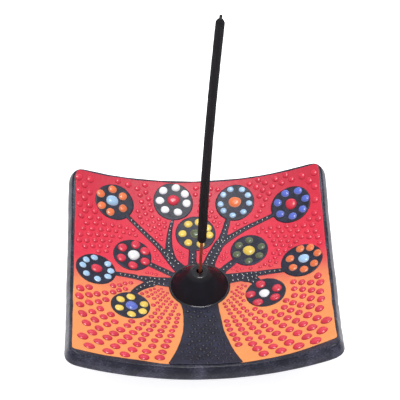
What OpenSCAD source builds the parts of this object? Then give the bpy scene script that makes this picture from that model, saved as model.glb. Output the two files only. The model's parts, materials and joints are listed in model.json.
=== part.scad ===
// Incense holder of painted clay: a square dish pressed over a ball, with a tree of life
// painted across it in raised paint, a drilled socket at its centre, and an incense stick
// that leans in the socket.
//
// Origin: the centre of the flat foot. +Z is up, -Y is the front edge, +X is the right edge.
// The dish's face, and every layer of paint on it, lies on a sphere about one common centre.

/* [Dish] */
// Width of the dish's face, from its left edge to its right edge
dish_w = 121; // [115:1:130]
// Depth of the dish's face, from its front edge to its back edge
dish_d = 120; // [115:1:130]
// Radius of the ball that the face is pressed over
bowl_r = 158; // [150:1:180]
// Thickness of the clay slab
slab_t = 7; // [5:0.5:9]
// Radius of the face's rounded corners, seen from above
corner_r = 5; // [3:0.5:8]
// How far the slab lies off centre, to the right of the socket
slab_shift = 0.7; // [0:0.1:1]
// How far each side bows outwards at its middle
side_bow = 0.8; // [0:0.1:1.5]
// Radius of the flat that is rubbed under the dish
foot_r = 22; // [16:1:28]

/* [Socket] */
// Radius of the socket where it meets the face
socket_base_r = 14; // [13:0.5:15]
// Radius of the socket's rounded top
socket_top_r = 5.5; // [4:0.5:7]
// Height of the socket above the face
socket_h = 11; // [9:0.5:14]
// Radius of the shoulder between the socket's flank and its top
shoulder_r = 2; // [1:0.5:3]
// Diameter of the loose hole for the stick
hole_d = 2.8; // [2.6:0.1:3.6]
// Depth of that hole
hole_depth = 10.5; // [8:0.5:10.5]
// How far the ring of slip around the socket's base reaches out
ring_t = 0.7; // [0.4:0.1:0.7]

/* [Incense stick] */
// Diameter of the bamboo core
core_d = 1.4; // [1.2:0.1:1.5]
// Diameter of the incense paste at its lower end
coat_lower_d = 4.3; // [3:0.1:5]
// Diameter of the incense paste at its upper end
coat_upper_d = 3.9; // [3:0.1:5]
// Bare bamboo between the socket's mouth and the paste
bare_l = 18; // [10:1:40]
// Length of the incense paste
coat_l = 126; // [60:1:180]
// Bamboo that shows past the paste at the tip
nub_l = 2; // [1:0.5:5]
// Lean of the stick to the right, in degrees
lean_right = 3.6; // [0:0.1:4]
// Lean of the stick towards the back, in degrees
lean_back = 4; // [0:0.1:4]

/* [Paint] */
// Thickness of the red and orange field
field_t = 0.2; // [0.1:0.05:0.3]
// Thickness of the black tree and flower discs
tree_t = 0.3; // [0.2:0.05:0.5]
// Height of a raised dot, as a share of its radius
dot_rise = 0.36; // [0.2:0.02:0.5]
// Gap that dots keep from the tree, the flowers and each other
dot_gap = 0.35; // [0.2:0.05:0.8]
// Width of the black rim that the field leaves bare at the sides
side_rim = 1.2; // [0.8:0.1:2]
// Width of the black rim at the back
back_rim = 1.2; // [0.5:0.1:3]
// Radius of the field's own corners
field_corner_r = 2; // [1:0.5:4]

/* [Hidden] */

BLACK = [0.14, 0.14, 0.17];
GLOSS_BLACK = [0.08, 0.08, 0.10];
RED = [0.90, 0.22, 0.30];
ORANGE_FIELD = [0.96, 0.60, 0.32];
CRIMSON = [0.92, 0.20, 0.38];
ORANGE = [0.93, 0.45, 0.22];
WHITE = [0.96, 0.97, 0.96];
YELLOW = [0.95, 0.80, 0.30];
BLUE = [0.36, 0.42, 0.82];
PALE_BLUE = [0.66, 0.80, 0.95];
OLIVE = [0.36, 0.40, 0.30];
BAMBOO = [0.66, 0.36, 0.26];
CHARCOAL = [0.10, 0.09, 0.10];

// Levels: the sphere that each layer of paint ends on, all about the point [0, 0, bowl_z]
outer_r = bowl_r + slab_t;
bowl_z = sqrt(outer_r * outer_r - foot_r * foot_r);
floor_z = bowl_z - bowl_r;
field_r = bowl_r - field_t;
tree_r = field_r - tree_t;
dish_top = 40; // taller than the dish's corners

// Smoothness of the round parts
ball_fn = 120;
round_fn = 96;
dot_fn = 48;
curve_steps = 8;
gauge_steps = 24; // places along each stroke where its distance is measured

// Where the field's paint stops along the front edge: x and y of a hand-drawn line
FRONT_LINE = [[-70, -57], [-30, -57], [-18, -58.5], [20, -59], [40, -57.5], [62, -53.5], [70, -52]];

// Strokes of the tree: three points [x, y, width] each, that a smooth ribbon follows
BACK_LEFT_LIMB = [
    [[-8, 10, 6.5], [-13, 16, 5], [-17.5, 22.5, 3]],
    [[-17.5, 22.5, 3], [-25, 31, 2.3], [-35, 41, 2.2]],
    [[-12.5, 16, 5], [-16, 27, 2.8], [-11.5, 41, 1.4]]
];
BACK_MIDDLE_LIMB = [[[-3, 11, 4.4], [-3, 17, 3.8], [-2.5, 25, 3.8]]];
BACK_RIGHT_LIMB = [
    [[4, 11, 6], [6, 18, 5.5], [11, 27, 5]],
    [[11, 26, 4.5], [13, 31, 3], [15.5, 41, 2.6]],
    [[10.5, 25, 4], [19, 33, 2.6], [39, 38.5, 2]]
];
LEFT_TWIG = [[[-11, 6.5, 3.2], [-17, 10, 3], [-25, 14, 3]]];
RIGHT_TWIG = [[[9, 7, 3.6], [13, 11.5, 3.8], [19, 16, 3.6]]];
LEFT_LIMB = [
    [[-12, 2.3, 6.5], [-22, 3, 5.2], [-29, 4.2, 3.2]],
    [[-29, 4.2, 3.2], [-35, 5, 2.7], [-42, 5, 2.6]],
    [[-22, 1.5, 4.5], [-28.5, -1, 3.6], [-32.5, -8, 3]]
];
RIGHT_LIMB = [
    [[11, 4, 6.4], [20, 4.4, 6], [27, 5, 4.5]],
    [[27, 5.3, 3.6], [33, 5.2, 2.9], [41, 4.5, 2.8]],
    [[21, 3.5, 5], [27, 2.5, 5], [29, -3, 4]]
];
// Trunk: the curves of its left and right flanks, from the socket to the front edge
TRUNK_LEFT = [[-9.5, -10], [-4.5, -30], [-17, -61]];
TRUNK_RIGHT = [[8.5, -11], [9.5, -38], [19, -61]];

// Flowers: [centre, disc's place, disc radius, the petals' angles, their distance from the centre,
// petal radius, centre radius, petal colour, centre colour]
FLOWERS = [
    [[-41.2, 46.4], [-40, 46], 9.3, [32, 88, 155, 215, 262, 329], 6.1, 2.1, 3.0, ORANGE, PALE_BLUE],
    [[-11.4, 50.2], [-11.5, 49.3], 9.8, [29, 77, 135, 186, 232, 289, 347], 6.7, 2.1, 3.0,
        WHITE, CRIMSON],
    [[18.8, 47.9], [18.8, 47.5], 9.5, [23, 58, 106, 141, 182, 214, 258, 305, 348], 7, 1.55, 3.0,
        PALE_BLUE, ORANGE],
    [[46, 41.7], [45.7, 41.3], 9.6, [6, 59, 113, 161, 217, 272, 320], 6.8, 2.0, 3.0, BLUE, RED],
    [[-0.7, 32], [-1, 32], 9.8, [27, 77, 125, 180, 233, 288, 351], 6.5, 2.0, 2.8, YELLOW, OLIVE],
    [[-31.2, 17.6], [-31.7, 17.5], 9.2, [28, 80, 144, 204, 267, 330], 6.3, 2.4, 3.0, CRIMSON, WHITE],
    [[-48.6, 5.7], [-49.1, 5.2], 9.4, [0, 38, 100, 140, 176, 222, 274, 323], 6.6, 1.75, 2.7,
        PALE_BLUE, RED],
    [[-32.3, -15.4], [-32.8, -15.2], 9.2, [17, 93, 146, 204, 270, 328], 6.1, 2.1, 2.9, YELLOW, BLUE],
    [[24.5, 19.8], [24.5, 20], 9.1, [13, 87, 141, 193, 266, 322], 6.1, 1.9, 2.9, OLIVE, YELLOW],
    [[50, 8.6], [49, 7.9], 9.8, [11, 59, 101, 163, 215, 266, 315], 6.6, 2.1, 2.7, ORANGE, PALE_BLUE],
    [[30.3, -8.5], [31, -8.2], 9.5, [19, 102, 177, 240, 322], 6.4, 2.5, 2.6, CRIMSON, WHITE]
];

// Front dots: rays spread from a point beside the trunk, and their dots grow outwards
FRONT_FOCUS = [2, 13];
front_rays = 13;
front_first_angle = 75.5;
front_pitch = 5.9; // degrees between the first rays
front_pitch_loss = 0.06; // by which the rays draw together away from the trunk
front_start = 22;
front_growth = 1.085;
front_dots_per_ray = 18;
front_dot_share = 0.035; // radius of a dot, as a share of its reach

// Back dots: rings about a point behind the socket, that draw apart as they widen
BACK_FOCUS = [0, 8];
back_rings = 25;
back_first_angle = -8;
back_start = 13;
back_growth = 1.041;
back_core = 30; // the larger it is, the less the spacing changes from ring to ring
back_spacing_share = 0.045;
back_dot_share = 0.39; // radius of a dot, as a share of the spacing
// The two groups meet along this line, level with the side flowers
border_y = 1.5;
// How much of a dot's radius has to lie on the field; the rest may hang over its edge
dot_hold = 0.6;

// Rows of small black dots on the tree
bark_pitch = 3.3;
bark_dot_r = 0.85;
limb_dot_r = 0.42;
limb_dot_pitch = 2.1;
wide_limb = 4.2; // a limb wider than this has two rows

// Stick: its axis crosses the middle of the hole, leaning
socket_top_z = floor_z + socket_h;
hole_floor_z = socket_top_z - hole_depth;
stick_pivot_z = (socket_top_z + hole_floor_z) / 2;
stick_tilt = acos(cos(lean_right) * cos(lean_back));
foot_gap = 0.2; // under the stick's foot
stick_foot = (hole_depth / 2 - foot_gap) / cos(stick_tilt) - core_d / 2 * tan(stick_tilt);
stick_mouth = hole_depth / 2 / cos(stick_tilt);
coat_start = stick_mouth + bare_l;
coat_end = coat_start + coat_l;
coat_taper = 1.4; // length of the paste's rounded ends

// ---------- Helpers ----------

// A repeatable random number between -1 and 1
function jitter(seed) = rands(-1, 1, 1, seed)[0];

// A point on the smooth curve that three control points set
function curve(p, t) = (1 - t) * (1 - t) * p[0] + 2 * t * (1 - t) * p[1] + t * t * p[2];

function curve_points(p) = [for (i = [0:curve_steps]) curve(p, i / curve_steps)];

// The direction across a curve at one of its points
function across(pts, i) =
    let (a = pts[max(i - 1, 0)], b = pts[min(i + 1, len(pts) - 1)], d = [a[1] - b[1], b[0] - a[0]])
    d / norm(d);

// The two edges of a ribbon whose points are [x, y, width], as one outline
function ribbon(pts) = concat(
    [for (i = [0:len(pts) - 1]) [pts[i][0], pts[i][1]] + across(pts, i) * pts[i][2] / 2],
    [for (i = [len(pts) - 1:-1:0]) [pts[i][0], pts[i][1]] - across(pts, i) * pts[i][2] / 2]
);

// A rectangle with round corners and sides that bow outwards, seen from above
function slab_outline(left, right, front, back, r) =
    let (
        mid = [(left + right) / 2, (front + back) / 2],
        half = [(right - left) / 2, (back - front) / 2],
        corner_steps = 6,
        corners = [[1, 1, 0], [-1, 1, 90], [-1, -1, 180], [1, -1, 270]],
        edge = [for (c = corners) for (i = [0:corner_steps])
            [c[0] * (half[0] - r), c[1] * (half[1] - r)]
            + r * [cos(c[2] + i * 90 / corner_steps), sin(c[2] + i * 90 / corner_steps)]],
        n = len(edge),
        side_steps = 6,
        fine = [for (i = [0:n - 1]) let (a = edge[i], b = edge[(i + 1) % n])
            for (k = [0:(norm(b - a) > 3 * r ? side_steps : 1) - 1])
                a + (b - a) * k / (norm(b - a) > 3 * r ? side_steps : 1)]
    )
    [for (p = fine) mid + [
        p[0] + side_bow * sign(p[0]) * (1 - pow(p[1] / half[1], 2)) * abs(p[0]) / half[0],
        p[1] + side_bow * sign(p[1]) * (1 - pow(p[0] / half[0], 2)) * abs(p[1]) / half[1]
    ]];

// Height of the face at a distance from its centre
function face_z(reach) = bowl_z - sqrt(bowl_r * bowl_r - reach * reach);

// The inside of a sphere about the face's own centre
module ball(r) {
    translate([0, 0, bowl_z]) sphere(r = r, $fn = ball_fn);
}

// A flat drawing raised into a skin that lies between two of those spheres
module skin(lower_r, upper_r) {
    difference() {
        intersection() {
            linear_extrude(height = dish_top) children();
            ball(lower_r);
        }
        ball(upper_r);
    }
}

// A domed drop of paint at [x, y], whose rim rests on the sphere of radius level_r
module dot(p, r, level_r) {
    h = r * dot_rise;
    drop_r = (r * r + h * h) / (2 * h);
    reach = norm(p);
    rim_r = sqrt(level_r * level_r - r * r);
    translate([0, 0, bowl_z]) rotate([0, -asin(reach / level_r), atan2(p[1], p[0])])
        translate([0, 0, -rim_r]) intersection() {
            translate([0, 0, h - drop_r]) sphere(r = drop_r, $fn = dot_fn);
            translate([-r - 1, -r - 1, 0]) cube([2 * r + 2, 2 * r + 2, h + 1]);
        }
}

// ---------- Layout of the dots ----------

LIMBS = concat(
    BACK_LEFT_LIMB, BACK_MIDDLE_LIMB, BACK_RIGHT_LIMB, LEFT_TWIG, RIGHT_TWIG, LEFT_LIMB, RIGHT_LIMB
);
limb_samples = [for (s = LIMBS) for (i = [0:gauge_steps]) curve(s, i / gauge_steps)];
trunk_samples = [for (i = [0:gauge_steps])
    let (a = curve(TRUNK_LEFT, i / gauge_steps), b = curve(TRUNK_RIGHT, i / gauge_steps))
    [(a[0] + b[0]) / 2, (a[1] + b[1]) / 2, b[0] - a[0]]];
flower_samples = [for (f = FLOWERS) [f[1][0], f[1][1], 2 * f[2]]];
socket_sample = [[0, 0, 2 * (socket_base_r + ring_t)]];
obstacles = concat(limb_samples, trunk_samples, flower_samples, socket_sample);

// The free distance from a point to the nearest part of the tree
function clearance(p) = min([for (s = obstacles) norm(p - [s[0], s[1]]) - s[2] / 2]);

slab_left = slab_shift - dish_w / 2;
slab_right = slab_shift + dish_w / 2;
field_left = slab_left + side_rim;
field_right = slab_right - side_rim;
field_back = dish_d / 2 - back_rim;

function on_field(p, r) =
    p[0] - r > field_left && p[0] + r < field_right && p[1] + r < field_back
    && p[1] - r > lookup(p[0], FRONT_LINE);

function room_for(p, r) = on_field(p, dot_hold * r) && clearance(p) > r + dot_gap;

front_spots = [for (side = [-1, 1]) for (k = [0:front_rays - 1]) for (i = [0:front_dots_per_ray - 1])
    let (
        seed = 1000 * (side + 2) + 40 * k + i,
        angle = front_first_angle - front_pitch * k + front_pitch_loss * k * k + 0.4 * jitter(seed),
        reach = front_start * pow(front_growth, i + (k % 2) / 2 + 0.04 * jitter(seed + 0.3)),
        r = front_dot_share * reach * (1 + 0.07 * jitter(seed + 0.6)),
        p = [side * (FRONT_FOCUS[0] + reach * cos(angle)), FRONT_FOCUS[1] - reach * sin(angle)]
    )
    if (p[1] < border_y - r && room_for(p, r)) [p[0], p[1], r]];

function back_spacing(reach) = back_spacing_share * (reach + back_core);

back_spots = [for (k = [0:back_rings - 1])
    let (
        ring_r = (back_start + back_core) * pow(back_growth, k) - back_core,
        spacing = back_spacing(ring_r),
        pitch = spacing / ring_r * 180 / PI,
        last = floor((180 - 2 * back_first_angle) / pitch)
    )
    for (i = [0:last])
        let (
            seed = 9000 + 90 * k + i,
            angle = back_first_angle + pitch * (i + (k % 2) / 2 + 0.06 * jitter(seed)),
            reach = ring_r + 0.1 * jitter(seed + 0.3),
            r = back_dot_share * spacing * (1 + 0.07 * jitter(seed + 0.6)),
            p = BACK_FOCUS + reach * [cos(angle), sin(angle)]
        )
        if (p[1] > border_y + r && room_for(p, r)) [p[0], p[1], r]];

function in_trunk(p, margin) =
    let (near = [for (s = trunk_samples) abs(p[1] - s[1])], i = search(min(near), near)[0])
    abs(p[0] - trunk_samples[i][0]) < trunk_samples[i][2] / 2 - margin;

bark_spots = [for (row = [0:13]) for (col = [-5:5])
    let (
        seed = 20000 + 40 * row + col,
        p = [(col + (row % 2) / 2) * bark_pitch + 0.6 + 0.5 * jitter(seed),
             -17.5 - row * bark_pitch * 0.93 + 0.5 * jitter(seed + 0.5)],
        r = bark_dot_r * (1 + 0.2 * jitter(seed + 0.7))
    )
    if (in_trunk(p, r + 1.2) && p[1] - r > lookup(p[0], FRONT_LINE) + 0.5) [p[0], p[1], r]];

// Dots in file along a stroke, with two files where the limb is wide
function stroke_spots(s) =
    let (steps = floor(norm([s[2][0] - s[0][0], s[2][1] - s[0][1]]) / limb_dot_pitch))
    [for (i = [0:steps])
        let (
            t = i / max(steps, 1),
            c = curve(s, t),
            e = curve(s, min(t + 0.02, 1)) - curve(s, max(t - 0.02, 0)),
            side = [-e[1], e[0]] / norm([e[1], e[0]])
        )
        for (w = c[2] > wide_limb ? [-1, 1] : [0])
            let (p = [c[0], c[1]] + side * w * c[2] / 4)
            if (clearance_to_discs(p) > limb_dot_r + 0.3) [p[0], p[1], limb_dot_r]];

function clearance_to_discs(p) =
    min([for (s = concat(flower_samples, socket_sample)) norm(p - [s[0], s[1]]) - s[2] / 2]);

// Drops the spots that fall on one already kept in an earlier stroke
function thinned(spots, gap) =
    [for (i = [0:len(spots) - 1])
        if (i == 0 || min([for (j = [0:i - 1]) norm(spots[i] - spots[j])]) > gap) spots[i]];

all_limb_spots = [for (s = LIMBS) each stroke_spots(s)];
limb_spots = thinned([for (s = all_limb_spots) [s[0], s[1]]], 2.6 * limb_dot_r);

// ---------- Clay pieces ----------

// The slab was flat when it was cut, so its walls point at the centre of the ball: a point of
// the face's outline, followed along that line down to the height of the foot
function spread(p) = p * bowl_z / (bowl_z - face_z(norm(p)));

module dish() {
    face_outline = slab_outline(slab_left, slab_right, -dish_d / 2, dish_d / 2, corner_r);
    color(BLACK) difference() {
        intersection() {
            linear_extrude(height = dish_top, scale = 1 - dish_top / bowl_z)
                polygon([for (p = face_outline) spread(p)]);
            ball(outer_r);
        }
        ball(bowl_r);
    }
}

// The socket's outline, turned about its axis: a flank, a round shoulder and a flat top
module socket_profile() {
    flank = atan2(socket_h, socket_base_r - socket_top_r);
    bed = 2; // below the face's lowest point, cut off by the face itself
    polygon(concat(
        [[0, -bed], [socket_base_r, -bed], [socket_base_r, 0.6]],
        [for (i = [0:6]) let (a = (90 - flank) * (1 - i / 6) + 90 * i / 6)
            [socket_top_r, socket_h] + shoulder_r * [cos(a) - 1, sin(a) - 1]],
        [[0, socket_h]]
    ));
}

module socket_body() {
    intersection() {
        translate([0, 0, floor_z]) rotate_extrude($fn = round_fn) socket_profile();
        ball(bowl_r);
    }
}

module stick_socket() {
    color(GLOSS_BLACK) difference() {
        socket_body();
        translate([0, 0, hole_floor_z]) cylinder(d = hole_d, h = hole_depth + 1, $fn = round_fn);
    }
}

// Slip that seals the joint between the socket and the face: a bead that runs round it
module socket_ring() {
    foot = [socket_base_r, face_z(socket_base_r)];
    toe = [socket_base_r + ring_t, face_z(socket_base_r + ring_t)];
    bead = [for (a = [15:15:90]) [foot[0] + ring_t * cos(a), toe[1] + ring_t * sin(a)]];
    color(GLOSS_BLACK) rotate_extrude($fn = round_fn) polygon(concat([foot, toe], bead));
}

// ---------- Paint ----------

module field_plan() {
    difference() {
        intersection() {
            polygon(slab_outline(field_left, field_right, -dish_d / 2, field_back, field_corner_r));
            polygon(concat(FRONT_LINE, [[70, 70], [-70, 70]]));
        }
        circle(r = socket_base_r + ring_t + 0.1, $fn = round_fn);
    }
}

module field_paint() {
    color(ORANGE_FIELD) skin(bowl_r, field_r) field_plan();
}

// A part of the tree, cut where it meets the flowers and the socket
module tree_skin() {
    color(BLACK) skin(field_r, tree_r) intersection() {
        difference() {
            children();
            for (f = FLOWERS) translate(f[1]) circle(r = f[2], $fn = round_fn);
        }
        field_plan();
    }
}

module limb_plan(strokes) {
    for (s = strokes) polygon(ribbon(curve_points(s)));
}

module trunk_plan() {
    polygon(concat(
        curve_points(TRUNK_LEFT),
        [for (i = [curve_steps:-1:0]) curve(TRUNK_RIGHT, i / curve_steps)]
    ));
}

module trunk_paint() { tree_skin() trunk_plan(); }

module back_left_limb() { tree_skin() limb_plan(BACK_LEFT_LIMB); }

module back_middle_limb() { tree_skin() limb_plan(BACK_MIDDLE_LIMB); }

module back_right_limb() { tree_skin() limb_plan(BACK_RIGHT_LIMB); }

module left_twig() { tree_skin() limb_plan(LEFT_TWIG); }

module right_twig() { tree_skin() limb_plan(RIGHT_TWIG); }

module left_limb() { tree_skin() limb_plan(LEFT_LIMB); }

module right_limb() { tree_skin() limb_plan(RIGHT_LIMB); }

module bark_dots() {
    color(BLACK) for (s = bark_spots) dot([s[0], s[1]], s[2], tree_r);
}

module limb_dots() {
    color(BLACK) for (s = limb_spots) dot(s, limb_dot_r, tree_r);
}

module back_dots() {
    color(RED) for (s = back_spots) dot([s[0], s[1]], s[2], field_r);
}

module front_dots() {
    color(CRIMSON) for (s = front_spots) dot([s[0], s[1]], s[2], field_r);
}

module flower_disc(i) {
    f = FLOWERS[i];
    color(BLACK) skin(field_r, tree_r) translate(f[1]) circle(r = f[2], $fn = round_fn);
}

module flower_petals(i) {
    f = FLOWERS[i];
    color(f[7]) for (a = f[3]) dot(f[0] + f[4] * [cos(a), sin(a)], f[5], tree_r);
}

module flower_centre(i) {
    f = FLOWERS[i];
    color(f[8]) dot(f[0], f[6], tree_r);
}

// ---------- Incense stick ----------

module leaning() {
    translate([0, 0, stick_pivot_z]) rotate([-lean_back, lean_right, 0]) children();
}

module bamboo_core() {
    color(BAMBOO) leaning() translate([0, 0, -stick_foot])
        cylinder(d = core_d, h = stick_foot + coat_end + nub_l, $fn = round_fn);
}

module incense_coating() {
    color(CHARCOAL) leaning() rotate_extrude($fn = round_fn) polygon([
        [core_d / 2, coat_start],
        [coat_lower_d / 2, coat_start + coat_taper],
        [coat_upper_d / 2, coat_end - coat_taper],
        [core_d / 2 + 0.2, coat_end],
        [core_d / 2, coat_end]
    ]);
}

dish();
stick_socket();
socket_ring();
bamboo_core();
incense_coating();
field_paint();
trunk_paint();
back_left_limb();
back_middle_limb();
back_right_limb();
left_twig();
right_twig();
left_limb();
right_limb();
bark_dots();
limb_dots();
back_dots();
front_dots();
flower_disc(0);  // flower_01_disc
flower_petals(0);  // flower_01_petals
flower_centre(0);  // flower_01_centre
flower_disc(1);  // flower_02_disc
flower_petals(1);  // flower_02_petals
flower_centre(1);  // flower_02_centre
flower_disc(2);  // flower_03_disc
flower_petals(2);  // flower_03_petals
flower_centre(2);  // flower_03_centre
flower_disc(3);  // flower_04_disc
flower_petals(3);  // flower_04_petals
flower_centre(3);  // flower_04_centre
flower_disc(4);  // flower_05_disc
flower_petals(4);  // flower_05_petals
flower_centre(4);  // flower_05_centre
flower_disc(5);  // flower_06_disc
flower_petals(5);  // flower_06_petals
flower_centre(5);  // flower_06_centre
flower_disc(6);  // flower_07_disc
flower_petals(6);  // flower_07_petals
flower_centre(6);  // flower_07_centre
flower_disc(7);  // flower_08_disc
flower_petals(7);  // flower_08_petals
flower_centre(7);  // flower_08_centre
flower_disc(8);  // flower_09_disc
flower_petals(8);  // flower_09_petals
flower_centre(8);  // flower_09_centre
flower_disc(9);  // flower_10_disc
flower_petals(9);  // flower_10_petals
flower_centre(9);  // flower_10_centre
flower_disc(10);  // flower_11_disc
flower_petals(10);  // flower_11_petals
flower_centre(10);  // flower_11_centre
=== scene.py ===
"""A painted clay incense holder with a tree of life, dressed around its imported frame.

The clay dish, its socket, every coat and drop of paint, and the incense stick are built as
meshes of their own from the frame's solids. Shapes are worked out in millimetres, with +Z up,
the front edge towards -Y and the origin under the middle of the dish, and become metres when
a piece is made.
"""

from __future__ import annotations

import json
import logging
import math
import random
from abc import ABC, abstractmethod
from dataclasses import dataclass, field
from enum import Enum
from typing import Any, Sequence

import bpy
import numpy as np
from mathutils import Matrix, Vector, noise
from mathutils.geometry import delaunay_2d_cdt
from mathutils.kdtree import KDTree


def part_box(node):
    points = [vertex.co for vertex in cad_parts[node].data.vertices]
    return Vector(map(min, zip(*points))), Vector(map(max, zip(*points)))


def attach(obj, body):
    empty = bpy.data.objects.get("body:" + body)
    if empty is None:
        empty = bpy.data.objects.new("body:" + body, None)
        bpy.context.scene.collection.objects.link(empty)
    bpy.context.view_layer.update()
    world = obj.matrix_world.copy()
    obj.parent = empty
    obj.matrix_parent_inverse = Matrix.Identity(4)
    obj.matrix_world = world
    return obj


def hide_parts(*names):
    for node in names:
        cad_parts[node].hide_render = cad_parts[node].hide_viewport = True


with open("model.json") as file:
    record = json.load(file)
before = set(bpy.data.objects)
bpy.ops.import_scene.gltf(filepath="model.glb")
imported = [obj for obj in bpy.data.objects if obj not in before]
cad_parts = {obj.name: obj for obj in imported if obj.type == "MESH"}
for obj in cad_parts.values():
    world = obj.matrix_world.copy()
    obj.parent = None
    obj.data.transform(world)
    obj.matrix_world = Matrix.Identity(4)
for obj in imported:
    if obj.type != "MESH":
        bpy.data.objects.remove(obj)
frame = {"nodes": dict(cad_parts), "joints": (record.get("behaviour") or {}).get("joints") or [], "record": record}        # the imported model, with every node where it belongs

LOG = logging.getLogger("incense_holder")
MM = 0.001
TURN = 2 * math.pi

Colour = tuple[float, float, float, float]


class Body(Enum):
    """The frame's bodies that pieces ride on."""

    HOLDER = "holder"
    STICK = "stick"


# ---------- Materials as expressions ----------


def srgb(red: int, green: int, blue: int) -> Colour:
    """A colour as it is mixed on screen, turned into the linear one that shaders take.

    Args:
        red: Red, 0 to 255.
        green: Green, 0 to 255.
        blue: Blue, 0 to 255.

    Returns:
        The linear colour, with full alpha.
    """
    def linear(level: int) -> float:
        """One channel, made linear."""
        share = level / 255
        return share / 12.92 if share <= 0.04045 else ((share + 0.055) / 1.055) ** 2.4

    return (linear(red), linear(green), linear(blue), 1.0)


class Wire:
    """A value that runs through a recipe's nodes; arithmetic on it adds Math nodes."""

    def __init__(self, recipe: Recipe, socket: bpy.types.NodeSocket | None) -> None:
        """Keeps the socket that the value comes out of."""
        self.recipe = recipe
        self.socket = socket

    def _math(self, operation: str, left: Wire | float, right: Wire | float) -> Wire:
        """Adds one Math node.

        Args:
            operation: The Math node's operation.
            left: Its first value.
            right: Its second value.

        Returns:
            The node's result.
        """
        return self.recipe.node("ShaderNodeMath", {"operation": operation}, {0: left, 1: right})

    def __add__(self, other: Wire | float) -> Wire:
        """This value and another."""
        return self._math("ADD", self, other)

    def __radd__(self, other: float) -> Wire:
        """A number and this value."""
        return self._math("ADD", other, self)

    def __sub__(self, other: Wire | float) -> Wire:
        """This value less another."""
        return self._math("SUBTRACT", self, other)

    def __rsub__(self, other: float) -> Wire:
        """A number less this value."""
        return self._math("SUBTRACT", other, self)

    def __mul__(self, other: Wire | float) -> Wire:
        """This value times another."""
        return self._math("MULTIPLY", self, other)

    def __rmul__(self, other: float) -> Wire:
        """A number times this value."""
        return self._math("MULTIPLY", other, self)

    def between(self, low: float, high: float) -> Wire:
        """A smooth step from 0 where the value is low to 1 where it is high.

        Args:
            low: The value that gives 0.
            high: The value that gives 1; it may be the smaller one.

        Returns:
            The step, clamped at both ends.
        """
        return self.recipe.node(
            "ShaderNodeMapRange",
            {"interpolation_type": "SMOOTHSTEP"},
            {"Value": self, "From Min": low, "From Max": high, "To Min": 0.0, "To Max": 1.0},
        )


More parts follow.
